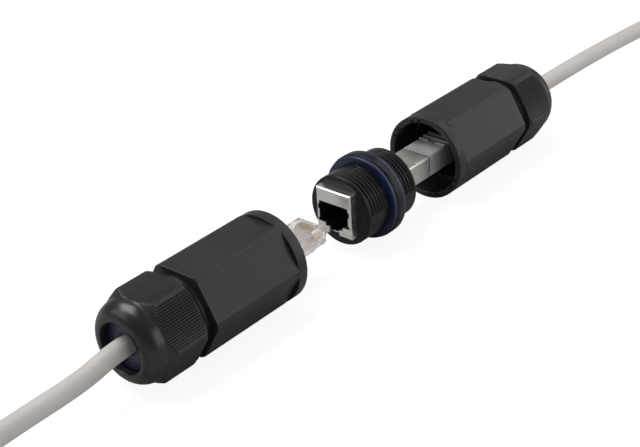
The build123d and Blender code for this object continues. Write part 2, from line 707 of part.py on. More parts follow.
def gland_nut():
    """Domed gland nut, measured from its end near the shell: ribbed hexagon, shoulder and dome."""
    shoulder_start = NUT_HEX_LENGTH - NUT_SHOULDER_LENGTH
    envelope = turned(
        [
            (0, 0),
            (0, NUT_CORNER_RADIUS - NUT_END_CHAMFER),
            (NUT_END_CHAMFER, NUT_CORNER_RADIUS),
            (shoulder_start, NUT_CORNER_RADIUS),
            (NUT_HEX_LENGTH, DOME_RADIUS - DOME_STEP),
            (NUT_HEX_LENGTH, 0),
        ]
    )
    body = hex_bar(0, NUT_HEX_LENGTH, NUT_FLATS) & envelope
    grooves = []
    low = NUT_FLATS / 2 - RIB_GROOVE_DEPTH
    for flat in RIBBED_FLATS:
        for i in range(RIB_COUNT):
            y = (i - (RIB_COUNT - 1) / 2) * RIB_PITCH
            groove = block(
                (-CUT_OVERLAP, NUT_HEX_LENGTH),
                (y - RIB_GROOVE_WIDTH / 2, y + RIB_GROOVE_WIDTH / 2),
                (low, low + CUT_OVERLAP),
            )
            grooves.append(around_x(groove, flat))
    body -= grooves
    tip_radius = OPENING_RADIUS + LIP_WIDTH
    dome_length = NUT_LENGTH - NUT_HEX_LENGTH
    arc = EllipticalCenterArc(
        (NUT_HEX_LENGTH, tip_radius), dome_length, DOME_RADIUS - tip_radius, arc_size=90
    )
    outline = Polyline(
        (NUT_LENGTH, tip_radius),
        (NUT_LENGTH, 0),
        (NUT_HEX_LENGTH - CUT_OVERLAP, 0),
        (NUT_HEX_LENGTH - CUT_OVERLAP, DOME_RADIUS),
        (NUT_HEX_LENGTH, DOME_RADIUS),
    )
    body += revolve(make_face([arc, outline]), Axis.X, 360)
    lip_start = NUT_LENGTH - LIP_LENGTH
    inside = turned(
        [
            (-CUT_OVERLAP, 0),
            (-CUT_OVERLAP, NUT_BORE_RADIUS),
            (NUT_BORE_LENGTH, NUT_BORE_RADIUS),
            (NUT_BORE_LENGTH, NUT_SEAT_RADIUS),
            (lip_start, NUT_SEAT_END_RADIUS),
            (lip_start, OPENING_RADIUS),
            (NUT_LENGTH + CUT_OVERLAP, OPENING_RADIUS),
            (NUT_LENGTH + CUT_OVERLAP, 0),
        ]
    )
    return body - inside


def seal():
    """Slit rubber plug of the gland, in the shell's frame."""
    radius = NECK_BORE_RADIUS - SEAL_CLEARANCE
    bore = CORD_BORE_RADIUS
    body = turned(
        [
            (SEAL_START, bore),
            (SEAL_START, radius - SEAL_EDGE),
            (SEAL_START + SEAL_EDGE, radius),
            (SEAL_END - SEAL_EDGE, radius),
            (SEAL_END, radius - SEAL_EDGE),
            (SEAL_END, bore),
        ]
    )
    through = (SEAL_START - CUT_OVERLAP, SEAL_END + CUT_OVERLAP)
    slit = block(through, (-SEAL_SLIT / 2, SEAL_SLIT / 2), (0, NECK_BORE_RADIUS))
    return body - around_x(slit, SEAL_SLIT_ANGLE)


def cord(name, points):
    """Round cable along straight runs joined by tangent arcs, which take a share of the shorter run."""
    runs = [Vector(*b) - Vector(*a) for a, b in zip(points, points[1:])]
    radii = []
    for before, after in zip(runs, runs[1:]):
        turn = before.get_angle(after)
        radii.append(BEND_SHARE * min(before.length, after.length) / tan(radians(turn) / 2))
    path = FilletPolyline(*points, radius=radii)
    start = Plane(origin=points[0], z_dir=runs[0])
    tube = sweep(start * Circle(CORD_RADIUS), path=path)
    expected = pi * CORD_RADIUS**2 * path.length
    print(name, "arc radii", [round(r, 1) for r in radii], "length", round(path.length, 1))
    print(name, "volume", round(tube.volume, 1), "section times length", round(expected, 1))
    return tube


def build():
    """Every piece in its place, by node name."""
    nodes = {}
    nodes["threaded_sleeve"] = threaded_sleeve()
    front_gasket_x = FLANGE_START - GASKET_THICKNESS
    nodes["front_gasket"] = gasket(front_gasket_x, FRONT_GASKET_RADIUS)
    rear_gasket = gasket(front_gasket_x, REAR_GASKET_RADIUS)
    nodes["rear_gasket"] = mirrored(rear_gasket, (FLANGE_START + FLANGE_END) / 2)

    shield, insert, springs = front_shield(), front_jack_insert(), front_jack_contacts()
    nodes["front_shield"] = shield
    nodes["rear_shield"] = mirrored(shield, HALF_MODULE)
    nodes["front_jack_insert"] = insert
    nodes["rear_jack_insert"] = mirrored(insert, HALF_MODULE)
    nodes["front_jack_contacts"] = springs
    nodes["rear_jack_contacts"] = mirrored(springs, HALF_MODULE)
    nodes["circuit_board"] = circuit_board()

    near_rear = Pos(REAR_NOSE_X, 0, 0) * Rot(0, 0, 180)
    places = {
        "front_plug": Pos(FRONT_NOSE_X, 0, 0),
        "front_far_plug": Pos(*FRONT_ROUTE[-1]) * Pos(-JACKET_STOP, 0, 0) * Rot(0, 180, 0),
        "rear_far_plug": Pos(*REAR_ROUTE[-1]) * Pos(JACKET_STOP, 0, 0) * Rot(180, 0, 0),
    }
    plug, blades, boot = clear_plug(), plug_blades(), plug_boot()
    wires = conductors(JACKET_STOP)
    for name, place in places.items():
        nodes[name] = place * plug
        nodes[name + "_contacts"] = place * blades
        nodes[name + "_wires"] = place * wires
        nodes[name + "_boot"] = place * boot
    nodes["rear_plug_insert"] = near_rear * rear_plug_insert()
    nodes["rear_plug_contacts"] = near_rear * blades
    nodes["rear_plug_wires"] = near_rear * conductors(CAP_JACKET_X - REAR_NOSE_X)
    nodes["rear_plug_shield"] = metal_plug_shield()
    nodes["rear_plug_cap"] = metal_plug_cap()
    nodes["front_cord"] = cord("front_cord", FRONT_ROUTE)
    nodes["rear_cord"] = cord("rear_cord", REAR_ROUTE)

    rear_group = {"shell": shell(), "gland_nut": Pos(NUT_START, 0, 0) * gland_nut(), "seal": seal()}
    for name, shape in rear_group.items():
        nodes["rear_" + name] = Pos(REAR_MOUTH_X, 0, 0) * shape
        nodes["front_" + name] = Pos(FRONT_MOUTH_X, 0, 0) * mirrored(shape, 0)
    return nodes


os.makedirs("parts", exist_ok=True)
for node_name, node_shape in build().items():
    export_step(node_shape, "parts/" + node_name + ".step")
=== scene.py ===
import json
from math import acos, asin, atan2, cos, degrees, radians, sin, tan

import bmesh
import bpy
from mathutils import Matrix, Vector

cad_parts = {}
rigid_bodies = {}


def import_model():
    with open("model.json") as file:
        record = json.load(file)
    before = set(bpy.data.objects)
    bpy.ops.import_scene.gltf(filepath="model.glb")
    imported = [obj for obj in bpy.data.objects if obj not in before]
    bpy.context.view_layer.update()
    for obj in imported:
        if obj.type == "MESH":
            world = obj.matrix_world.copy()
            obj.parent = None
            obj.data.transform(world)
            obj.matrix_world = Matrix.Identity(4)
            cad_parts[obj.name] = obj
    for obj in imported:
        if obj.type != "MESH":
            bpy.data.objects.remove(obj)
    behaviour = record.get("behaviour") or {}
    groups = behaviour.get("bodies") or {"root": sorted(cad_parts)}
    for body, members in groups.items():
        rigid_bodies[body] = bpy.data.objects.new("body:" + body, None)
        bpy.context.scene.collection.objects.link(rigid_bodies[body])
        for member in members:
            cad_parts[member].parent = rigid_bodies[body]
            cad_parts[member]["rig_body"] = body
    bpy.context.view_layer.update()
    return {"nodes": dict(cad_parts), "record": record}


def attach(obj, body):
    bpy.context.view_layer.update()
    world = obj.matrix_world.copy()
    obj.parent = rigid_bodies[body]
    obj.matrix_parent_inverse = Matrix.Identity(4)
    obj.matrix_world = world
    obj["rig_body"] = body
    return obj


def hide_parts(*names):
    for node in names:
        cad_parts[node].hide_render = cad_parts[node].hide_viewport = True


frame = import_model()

MM = 0.001

# Camera, as fitted to the photograph: place, lens and sensor in millimetres, view range in metres
CAMERA_PLACE = Vector((-324.381, -282.079, 235.529)) * MM
CAMERA_RIGHT = Vector((0.640726, -0.765883, -0.053794))
CAMERA_UP = Vector((0.402737, 0.275617, 0.872833))
CAMERA_BACK = Vector((-0.653662, -0.580911, 0.485044))
CAMERA_LENS = 83.43
SENSOR_WIDTH = 36
VIEW_RANGE = (0.01, 20)

# Floor under the collars of the shells, with the light that only a straight view of it adds
FLOOR_Z = -15.4 * MM
FLOOR_REACH = 4.0
FLOOR_GREY = 0.5
FLOOR_ROUGHNESS = 0.9
FLOOR_SPECULAR = 0.1
FLOOR_GLOW = 1.5
FLOOR_GLOW_SHARE = 0.6

# Brightness of the white surroundings, as light and to the camera
WORLD_LIGHT = 0.15
WORLD_SEEN = 1.0

# Soft boxes: name, place in metres, size in metres and watts
LAMPS = (
    ("top", (-0.15, 0.42, 0.87), 0.62, 7),
    ("front", (0.12, -0.95, 0.25), 0.7, 2.5),
    ("side", (0.8, -0.58, 0.25), 0.8, 2.6),
    ("upper", (0.65, -0.13, 0.745), 0.6, 1.3),
    ("back_right", (0.75, 0.5, 0.42), 0.9, 0.5),
    ("back_left", (-0.65, 0.58, 0.49), 0.6, 1.5),
)

# Rounding of the edges of the flat-faced pieces, in millimetres
EDGES = {
    "front_shield": 0.03,
    "rear_shield": 0.03,
    "rear_plug_shield": 0.03,
    "rear_plug_cap": 0.08,
    "front_plug": 0.12,
    "front_far_plug": 0.12,
    "rear_far_plug": 0.12,
    "rear_plug_insert": 0.12,
    "front_plug_boot": 0.15,
    "front_far_plug_boot": 0.15,
    "rear_far_plug_boot": 0.15,
    "front_jack_insert": 0.1,
    "rear_jack_insert": 0.1,
    "front_jack_contacts": 0.06,
    "rear_jack_contacts": 0.06,
}

# Cables, with the routes of their tubes and their lengths, in millimetres
CORD_RADIUS = 3.2
CORD_STEPS = 24
CORD_ROUND_STEPS = 10
FRONT_ROUTE = [
    (-25, 0, 0),
    (-87.7, 0, 0),
    (-100, 0, 0),
    (-112, 0, -2.6),
    (-136, 0, -2.7),
    (-184, 0, -4.2),
    (-240, 0, -11.5),
    (-295, 0, -11.5),
]
REAR_ROUTE = [
    (48, 0, 0),
    (135, 0, 0),
    (182, 0, -1.7),
    (222, 0, -4.6),
    (262, 0, -11.5),
    (304, 0, -11.5),
]


def link(thing):
    """Put a new object into the scene."""
    bpy.context.scene.collection.objects.link(thing)
    return thing


def make_camera():
    """Camera at the photograph's place, angle and lens."""
    data = bpy.data.cameras.new("camera")
    data.lens = CAMERA_LENS
    data.sensor_width = SENSOR_WIDTH
    data.clip_start, data.clip_end = VIEW_RANGE
    camera = link(bpy.data.objects.new("camera", data))
    axes = Matrix((CAMERA_RIGHT, CAMERA_UP, CAMERA_BACK)).transposed().to_4x4()
    camera.matrix_world = Matrix.Translation(CAMERA_PLACE) @ axes
    bpy.context.scene.camera = camera


def new_material(name):
    """Empty node material, with its node tree and its principled shader."""
    material = bpy.data.materials.new(name)
    material.use_nodes = True
    tree = material.node_tree
    return material, tree, tree.nodes["Principled BSDF"]


# Spread of the noise values that become the ends of a range, and of a run of tones
NOISE_SPREAD = (0.25, 0.75)
TONE_SPREAD = (0.3, 0.7)

# Features per metre of the broad unevenness of plastic, metal and clear plastic, and of fine grains
PLASTIC_BROAD = 90
METAL_BROAD = 160
METAL_DETAIL = 4
METAL_NOISE_ROUGHNESS = 0.65
CLEAR_BROAD = 300
NUT_GRAIN = 4200
METAL_GRAIN = 5200

# Heights of bumps, in metres
NUT_BUMP = 0.000005
METAL_BUMP = 0.000004
CLEAR_BUMP = 0.00002

# Gland nuts: tones, and roughness of the ribs and of the dome
NUT_TONES = ((0.0165, 0.0155, 0.0159), (0.0200, 0.0189, 0.0193))
NUT_ROUGHNESS = (0.44, 0.28)
NUT_SPECULAR = 0.5

# Painted shade in the seam of sheet metal: its colour, and the edges of the painted shade in metres from
# its middle
SEAM_SHADE_COLOUR = (0.03, 0.03, 0.03)
SEAM_SHADE_REACH = (0.17 * MM, 0.26 * MM)

CLEAR_IOR = 1.4


def surface_noise(tree, scale, detail=2, roughness=0.55):
    """Noise that is fixed to the object's own space. Scale is in features per metre."""
    place = tree.nodes.new("ShaderNodeTexCoord")
    noise = tree.nodes.new("ShaderNodeTexNoise")
    noise.inputs["Scale"].default_value = scale
    noise.inputs["Detail"].default_value = detail
    noise.inputs["Roughness"].default_value = roughness
    tree.links.new(place.outputs["Object"], noise.inputs["Vector"])
    return noise.outputs["Fac"]


def mapped(tree, value, source, target=(0.0, 1.0)):
    """A value carried over from one range to another, and held to its ends."""
    node = tree.nodes.new("ShaderNodeMapRange")
    node.inputs["From Min"].default_value, node.inputs["From Max"].default_value = source
    node.inputs["To Min"].default_value, node.inputs["To Max"].default_value = target
    tree.links.new(value, node.inputs["Value"])
    return node.outputs["Result"]


def two_tone(tree, value, dark, light):
    """Colour that runs from dark to light with a noise value."""
    ramp = tree.nodes.new("ShaderNodeValToRGB")
    for element, position, tone in zip(ramp.color_ramp.elements, TONE_SPREAD, (dark, light)):
        element.position = position
        element.color = (*tone, 1)
    tree.links.new(value, ramp.inputs["Fac"])
    return ramp.outputs["Color"]


def calculated(tree, operation, first, second=None):
    """Output of a math node. The second value is a number, another output or not there."""
    node = tree.nodes.new("ShaderNodeMath")
    node.operation = operation
    tree.links.new(first, node.inputs[0])
    if isinstance(second, (int, float)):
        node.inputs[1].default_value = second
    elif second is not None:
        tree.links.new(second, node.inputs[1])
    return node.outputs[0]


def place_along(tree):
    """Place along the X axis in the object's own space, in metres."""
    place = tree.nodes.new("ShaderNodeTexCoord")
    axes = tree.nodes.new("ShaderNodeSeparateXYZ")
    tree.links.new(place.outputs["Object"], axes.inputs["Vector"])
    return axes.outputs["X"]


def bumped(tree, shader, value, height):
    """Bump from a noise value. Height is in metres."""
    node = tree.nodes.new("ShaderNodeBump")
    node.inputs["Strength"].default_value = 1.0
    node.inputs["Distance"].default_value = height
    tree.links.new(value, node.inputs["Height"])
    tree.links.new(node.outputs["Normal"], shader.inputs["Normal"])


def moulded(name, dark, light, roughness, grain, height, **sockets):
    """Moulded plastic or rubber: two close tones, uneven gloss and a fine grain."""
    material, tree, shader = new_material(name)
    broad = surface_noise(tree, PLASTIC_BROAD)
    tree.links.new(two_tone(tree, broad, dark, light), shader.inputs["Base Color"])
    tree.links.new(mapped(tree, broad, NOISE_SPREAD, roughness), shader.inputs["Roughness"])
    bumped(tree, shader, surface_noise(tree, grain), height)
    for socket, value in sockets.items():
        shader.inputs[socket.replace("_", " ")].default_value = value
    return material


def domed(name, side, start, end):
    """Black nylon of a gland nut: matt on the ribs and polished on the dome.

    The dome lies beyond start to end millimetres from the origin on its side of the X axis.
    """
    material, tree, shader = new_material(name)
    tone = two_tone(tree, surface_noise(tree, PLASTIC_BROAD), *NUT_TONES)
    tree.links.new(tone, shader.inputs["Base Color"])
    span = (side * start * MM, side * end * MM)
    gloss = mapped(tree, place_along(tree), span, NUT_ROUGHNESS)
    tree.links.new(gloss, shader.inputs["Roughness"])
    shader.inputs["Specular IOR Level"].default_value = NUT_SPECULAR
    bumped(tree, shader, surface_noise(tree, NUT_GRAIN), NUT_BUMP)
    return material


def painted_seam_shade(tree, colour, seam):
    """Colour darkened with painted shade in the thin gap at seam millimetres along the X axis."""
    away = calculated(tree, "SUBTRACT", place_along(tree), seam * MM)
    share = mapped(tree, calculated(tree, "ABSOLUTE", away), SEAM_SHADE_REACH)
    mix = tree.nodes.new("ShaderNodeMix")
    mix.data_type = "RGBA"
    # With colours, a mix node takes its A and B at inputs 6 and 7 and gives its result at output 2
    mix.inputs[6].default_value = (*SEAM_SHADE_COLOUR, 1)
    tree.links.new(share, mix.inputs["Factor"])
    tree.links.new(colour, mix.inputs[7])
    return mix.outputs[2]


def plated(name, dark, light, roughness, metallic, seam=None):
    """Plated sheet metal with faint handling marks, and painted shade in its seam if it has one."""
    material, tree, shader = new_material(name)
    broad = surface_noise(tree, METAL_BROAD, METAL_DETAIL, METAL_NOISE_ROUGHNESS)
    colour = two_tone(tree, broad, dark, light)
    if seam is not None:
        colour = painted_seam_shade(tree, colour, seam)
    tree.links.new(colour, shader.inputs["Base Color"])
    tree.links.new(mapped(tree, broad, NOISE_SPREAD, roughness), shader.inputs["Roughness"])
    shader.inputs["Metallic"].default_value = metallic
    bumped(tree, shader, surface_noise(tree, METAL_GRAIN), METAL_BUMP)
    return material


def clear(name, tint, roughness, through):
    """Clear moulded polycarbonate with a slight haze. Through is the share of light let through."""
    material, tree, shader = new_material(name)
    broad = surface_noise(tree, CLEAR_BROAD)
    shader.inputs["Base Color"].default_value = (*tint, 1)
    shader.inputs["Transmission Weight"].default_value = through
    shader.inputs["IOR"].default_value = CLEAR_IOR
    tree.links.new(mapped(tree, broad, NOISE_SPREAD, roughness), shader.inputs["Roughness"])
    bumped(tree, shader, broad, CLEAR_BUMP)
    return material


# Each moulded finish has its dark and light tone, its range of roughness, its grain and its bump
MATERIALS = {
    "black_nylon": moulded(
        "black_nylon", (0.021, 0.0195, 0.0198), (0.026, 0.0242, 0.0247), (0.33, 0.41), 4200, 0.000008,
        Specular_IOR_Level=0.36,
    ),
    "front_nut_nylon": domed("front_nut_nylon", -1, 89.5, 92.0),
    "rear_nut_nylon": domed("rear_nut_nylon", 1, 108.7, 111.2),
    "sleeve_nylon": moulded(
        "sleeve_nylon", (0.006, 0.006, 0.0068), (0.008, 0.008, 0.0090), (0.26, 0.36), 3800, 0.000005,
        Specular_IOR_Level=0.28,
    ),
    "blue_rubber": moulded(
        "blue_rubber", (0.013, 0.019, 0.052), (0.018, 0.026, 0.068), (0.26, 0.38), 2600, 0.000006
    ),
    "gasket": moulded(
        "gasket", (0.009, 0.016, 0.055), (0.012, 0.021, 0.070), (0.30, 0.40), 2600, 0.000006
    ),
    "black_insert": moulded(
        "black_insert", (0.008, 0.008, 0.008), (0.012, 0.012, 0.012), (0.6, 0.7), 3000, 0.000008,
        Specular_IOR_Level=0.15,
    ),
    "cable_jacket": moulded(
        "cable_jacket", (0.585, 0.545, 0.52), (0.635, 0.595, 0.57), (0.42, 0.52), 1800, 0.00001
    ),
    "wire_insulation": moulded(
        "wire_insulation", (0.70, 0.52, 0.46), (0.88, 0.74, 0.68), (0.35, 0.45), 1500, 0.00001
    ),
    "board": moulded("board", (0.02, 0.12, 0.04), (0.03, 0.16, 0.06), (0.3, 0.4), 2500, 0.000008),
    "plated_metal": plated(
        "plated_metal", (0.66, 0.64, 0.615), (0.78, 0.755, 0.73), (0.34, 0.46), metallic=0.9
    ),
    # Front shield's copy of the plated metal: glossier, with a lighter tone that is painted light
    "glossy_lit_metal": plated(
        "glossy_lit_metal", (0.75, 0.73, 0.70), (0.85, 0.83, 0.80), (0.20, 0.30), metallic=1.0
    ),
    # Painted shade darkens the plug's metal in the gap of its seam
    "plug_metal": plated(
        "plug_metal", (0.50, 0.482, 0.478), (0.60, 0.582, 0.578), (0.54, 0.66), metallic=0.65, seam=45.32
    ),
    "gold": plated("gold", (0.95, 0.66, 0.13), (1.0, 0.80, 0.22), (0.34, 0.44), metallic=0.25),
    "clear_plastic": clear("clear_plastic", (0.98, 0.95, 0.94), (0.07, 0.12), 0.76),
}


SLOTS = {part["node"]: part["material_slot"] for part in frame["record"]["subparts"]}

# Nodes with a finish of their own within their slot. The front shield's copy of the plated metal is
# glossier, and its lighter tone is painted light
OWN_FINISH = {"front_shield": "glossy_lit_metal"}


def dress_nodes():
    """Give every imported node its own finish, or else the finish of its slot."""
    for name, slot in SLOTS.items():
        node = frame["nodes"][name]
        node.data.materials.clear()
        node.data.materials.append(MATERIALS[OWN_FINISH.get(name, slot)])


def facing(angle):
    """Angle round the X axis, in degrees: 0 is up and 90 is towards -Y. Returned within 180."""
    return (angle + 180) % 360 - 180


def soft_min(a, b, width):
    """The smaller of two values, with a rounded corner of about that width."""
    share = max(width - abs(a - b), 0) / width
    return min(a, b) - share * share * width / 4


def hex_radius(angle, apothem):
    """Radius of a hexagon with flats at the top and bottom."""
    turn = (angle + 30) % 60 - 30
    return apothem / cos(radians(turn))


# Steps of an arc in a profile, unless it is given its own
ARC_STEPS = 4


def arc_steps(centre, radius, start, end, count=ARC_STEPS):
    """Points of an arc in a profile, as (x, radius) pairs. Angles in degrees from +X to outwards."""
    points = []
    for i in range(count + 1):
        turn = radians(start + (end - start) * i / count)
        points.append((centre[0] + radius * cos(turn), centre[1] + radius * sin(turn)))
    return points


# Smooth shading stops at this angle on turned pieces and on flat-faced ones, in degrees
TURNED_SHARP = 32
FLAT_SHARP = 35

# Distances within which points are welded and edges count as empty, in metres
WELD = 0.000002
EMPTY = 0.000001

# Least distance between two angles round a piece, in degrees, and the half width and step of a band
# that is one angle alone
ANGLE_GAP = 0.02
ONE_ANGLE = (0.0, 1.0)

# Least sine or cosine that a length is divided by
LEAST_SHARE = 1e-6

# Sides of the coupler: the place of each shell's mouth and of each nut's near end, in millimetres.
# The front pieces are the rear ones turned to face the other way.
SIDES = (
    ("front", -31.3, -75.9, True),
    ("rear", 50.5, 95.1, False),
)


def polar_piece(name, rings, angles, material, body, replaced, place=0.0, flip=False, slit=0.0):
    """Closed mesh round the X axis. Each ring is a function of the angle that gives (x, radius).

    With slit, its width in millimetres, the last angle is a turn after the first, and the mesh
    stays open there between two flat walls.
    """
    side = -1 if flip else 1
    rows = []
    for ring in rings:
        row = []
        for angle in angles:
            x, radius = ring(angle)
            turn = radians(angle)
            if slit:
                wall = asin(slit / 2 / radius)
                turn = min(max(turn, radians(angles[0]) + wall), radians(angles[-1]) - wall)
            row.append((place + side * x, -radius * sin(turn), radius * cos(turn)))
        rows.append(row)
    count = len(angles)
    vertices = [tuple(value * MM for value in point) for row in rows for point in row]
    faces = []
    for i in range(len(rows)):
        below = (i + 1) % len(rows)
        for j in range(count - 1 if slit else count):
            after = (j + 1) % count
            face = (i * count + j, i * count + after, below * count + after, below * count + j)
            faces.append(face if side > 0 else face[::-1])
    if slit:
        faces.append([i * count for i in range(len(rows))])
        faces.append([(i + 1) * count - 1 for i in range(len(rows))])
    mesh = bpy.data.meshes.new(name)
    mesh.from_pydata(vertices, [], faces)
    tidy_mesh(mesh)
    mesh.materials.append(MATERIALS[material])
    stand_in(link(bpy.data.objects.new(name, mesh)), body, replaced)


def stand_in(piece, body, replaced):
    """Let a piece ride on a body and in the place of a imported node."""
    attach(piece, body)
    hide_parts(replaced)


def tidy_mesh(mesh):
    """Weld doubles, drop empty faces, face outwards, and shade smooth up to the sharp angle."""
    work = bmesh.new()
    work.from_mesh(mesh)
    bmesh.ops.remove_doubles(work, verts=work.verts, dist=WELD)
    bmesh.ops.dissolve_degenerate(work, edges=work.edges, dist=EMPTY)
    bmesh.ops.recalc_face_normals(work, faces=work.faces)
    for face in work.faces:
        face.smooth = True
    work.to_mesh(mesh)
    work.free()
    mesh.set_sharp_from_angle(angle=radians(TURNED_SHARP))


def flat_ring(x, radius):
    """Ring that is the same all round."""
    return lambda angle: (x, radius)


def spread_angles(step, *bands):
    """Angles round the axis: even steps, with finer steps inside bands of (middle, half, fine step)."""
    values = {round(i * step, 4) for i in range(round(360 / step))}
    for middle, half, fine in bands:
        count = round(2 * half / fine)
        values |= {round((middle - half + i * fine) % 360, 4) for i in range(count + 1)}
    ordered = sorted(values)
    kept = [ordered[0]]
    for value in ordered[1:]:
        if value - kept[-1] > ANGLE_GAP:
            kept.append(value)
    return kept


# Shells: sizes in millimetres from the mouth's plane, as in the solids
SHELL_LENGTH = 40.9
SHELL_APOTHEM = 14.0
COLLAR_LENGTH = 3.9
COLLAR_RADIUS = 15.4
SHELL_CORNER_RADIUS = 15.6
SHELL_EDGE = 0.25
MOUTH_RADIUS = 13.25
MOUTH_DEPTH = 2.2
THREAD_PITCH = 1.5
SHELL_CREST = 13.0
SHELL_ROOT = 13.3
SHELL_THREAD_END = 11.65
SHELL_BORE = 11.8
SHELL_BORE_END = 36.0
NECK_BORE = 9.2
NECK_BORE_START = 38.6
NECK_ROOT = 12.05
NECK_CREST = 12.6
NECK_THREAD_START = 41.4
NECK_THREAD_END = 51.9
FINGER_START = 53.0
NECK_END = 59.5
FINGER_RADIUS = 11.3
FINGER_TIP_RADIUS = 10.2
FINGER_COUNT = 8
FINGER_SLOT = 0.9
POCKET_MIDDLES = (-61.0, -15.0, 119.0, 165.0)
POCKET_SPACING = 12.5
POCKET_HALF_WIDTH = 2.45
POCKET_DEPTH = 0.8
POCKET_INNER = 13.6
POCKET_OUTER = 14.3

# Rounding of the collar's rear edge: pairs of a distance before the collar's end and a drop
COLLAR_ROUNDING = ((0.12, 0.0), (0.03, 0.04), (0.0, 0.14))
COLLAR_BLEND = 0.3
MOUTH_EDGE = 0.15
CORNER_SOFTNESS = 0.12
SHELL_END_STEPS = 5
NECK_FILLET = 0.2
NECK_LEAD = 0.1
NECK_BORE_EDGE = 0.15
BORE_LEAD = 0.1
TIP_EDGE = 0.2
TAPER_START = 2.2
SLOT_RADIUS = 10
SLOT_END_LEAD = 0.3
MOUTH_THREAD_GAP = 0.2
CREST_EDGE = 0.05
BODY_RING_SHARES = (0.1, 0.35, 0.65, 0.9)

# Even steps round the shell, and the bands of finer steps at its corners and at upright walls: half
# a band's width and its step, in degrees
SHELL_ANGLE_STEP = 1.5
CORNER_BAND = (2.4, 0.4)
EDGE_BAND = (0.06, 0.06)

# Step that stands for an upright wall, so that two rings there keep their order
WALL = 0.02

# Profile of a screw thread: slope of its flanks against its height, height before it is cut off at
# the crest, rounding, and length of its fading ends in millimetres
FLANK_SLOPE = 5
FLANK_TOP = 1.75
THREAD_ROUNDING = 0.3
THREAD_FADE = 0.5
THREAD_STEP = 0.15


def thread_height(x, angle, start, end):
    """Height of a screw thread from 0, the root, to 1, the crest. It fades in and out at its ends."""
    phase = ((x - start) / THREAD_PITCH - angle / 360) % 1
    height = soft_min(1.0, max(0.0, FLANK_TOP - abs(phase - 0.5) * FLANK_SLOPE), THREAD_ROUNDING)
    fade = min(1, max(0, (x - start) / THREAD_FADE), max(0, (end - x) / THREAD_FADE))
    return max(height, 0) * fade


def thread_rings(start, end, root, crest):
    """Rings of a screw thread between two places."""
    count = round((end - start) / THREAD_STEP)
    rings = []
    for i in range(count + 1):
        x = start + (end - start) * i / count
        rings.append(
            lambda angle, x=x: (x, root + (crest - root) * thread_height(x, angle, start, end))
        )
    return rings


def shell_outer(angle):
    """Hexagonal body of the shell, with its corners cut round."""
    return soft_min(hex_radius(angle, SHELL_APOTHEM), SHELL_CORNER_RADIUS, CORNER_SOFTNESS)


def in_pocket(angle):
    """True at the small pockets in the mouth's rim."""
    for middle in POCKET_MIDDLES:
        for side in (-1, 1):
            if abs(facing(angle - middle - side * POCKET_SPACING / 2)) < POCKET_HALF_WIDTH:
                return True
    return False


def in_slot(angle):
    """True at the slots between the gland's fingers."""
    step = 360 / FINGER_COUNT
    turn = (angle + step / 2) % step - step / 2
    return abs(radians(turn)) * SLOT_RADIUS < FINGER_SLOT / 2


def shell_rings():
    """All rings of a shell, from the mouth's inner edge outside, over the neck and back inside."""
    rings = [flat_ring(MOUTH_EDGE, MOUTH_RADIUS), flat_ring(0.0, MOUTH_RADIUS + MOUTH_EDGE)]
    pocket_walls = (
        (POCKET_INNER - WALL / 2, 0),
        (POCKET_INNER + WALL / 2, POCKET_DEPTH),
        (POCKET_OUTER - WALL / 2, POCKET_DEPTH),
        (POCKET_OUTER + WALL / 2, 0),
    )
    for radius, depth in pocket_walls:
        rings.append(lambda angle, r=radius, d=depth: (d if in_pocket(angle) else 0.0, r))
    for x, radius in arc_steps((SHELL_EDGE, COLLAR_RADIUS - SHELL_EDGE), SHELL_EDGE, 180, 90):
        rings.append(flat_ring(x, radius))
    rings.append(flat_ring(COLLAR_LENGTH - COLLAR_BLEND, COLLAR_RADIUS))
    for before, drop in COLLAR_ROUNDING:
        rings.append(
            lambda angle, x=COLLAR_LENGTH - before, d=drop: (
                x,
                max(min(shell_outer(angle), COLLAR_RADIUS), COLLAR_RADIUS - d),
            )
        )
    rings.append(lambda angle: (COLLAR_LENGTH + WALL, min(shell_outer(angle), COLLAR_RADIUS + WALL)))
    rings.append(lambda angle: (COLLAR_LENGTH + SHELL_EDGE, shell_outer(angle)))
    for share in BODY_RING_SHARES:
        x = COLLAR_LENGTH + share * (SHELL_LENGTH - COLLAR_LENGTH)
        rings.append(lambda angle, x=x: (x, shell_outer(angle)))
    end = (SHELL_LENGTH - SHELL_EDGE, -SHELL_EDGE)
    for x, drop in arc_steps(end, SHELL_EDGE, 90, 0, SHELL_END_STEPS):
        rings.append(lambda angle, x=x, d=drop: (x, shell_outer(angle) + d))
    rings.append(flat_ring(SHELL_LENGTH, NECK_ROOT + NECK_FILLET))
    rings.append(flat_ring(SHELL_LENGTH + NECK_LEAD, NECK_ROOT))
    rings += thread_rings(NECK_THREAD_START, NECK_THREAD_END, NECK_ROOT, NECK_CREST)
    tip = [
        (FINGER_START, NECK_ROOT),
        (FINGER_START + WALL, FINGER_RADIUS),
        (FINGER_START + TAPER_START, FINGER_RADIUS),
        (NECK_END - TIP_EDGE, FINGER_TIP_RADIUS),
        (NECK_END, FINGER_TIP_RADIUS - TIP_EDGE),
        (NECK_END, NECK_BORE + NECK_BORE_EDGE),
        (NECK_END - NECK_BORE_EDGE, NECK_BORE),
    ]
    for x, radius in tip:
        rings.append(
            lambda angle, x=x, r=radius: (min(x, FINGER_START + WALL) if in_slot(angle) else x, r)
        )
    rings.append(flat_ring(FINGER_START - SLOT_END_LEAD, NECK_BORE))
    rings.append(flat_ring(NECK_BORE_START, NECK_BORE))
    rings.append(flat_ring(SHELL_BORE_END, SHELL_BORE))
    rings.append(flat_ring(SHELL_THREAD_END + BORE_LEAD, SHELL_BORE))
    rings.append(flat_ring(SHELL_THREAD_END, SHELL_BORE + BORE_LEAD))
    rings.append(flat_ring(SHELL_THREAD_END, SHELL_CREST))
    thread_start = MOUTH_DEPTH + MOUTH_THREAD_GAP
    rings += thread_rings(SHELL_THREAD_END, thread_start, SHELL_CREST, SHELL_ROOT)
    rings.append(flat_ring(MOUTH_DEPTH, SHELL_CREST + CREST_EDGE))
    rings.append(flat_ring(MOUTH_DEPTH, MOUTH_RADIUS))
    return rings


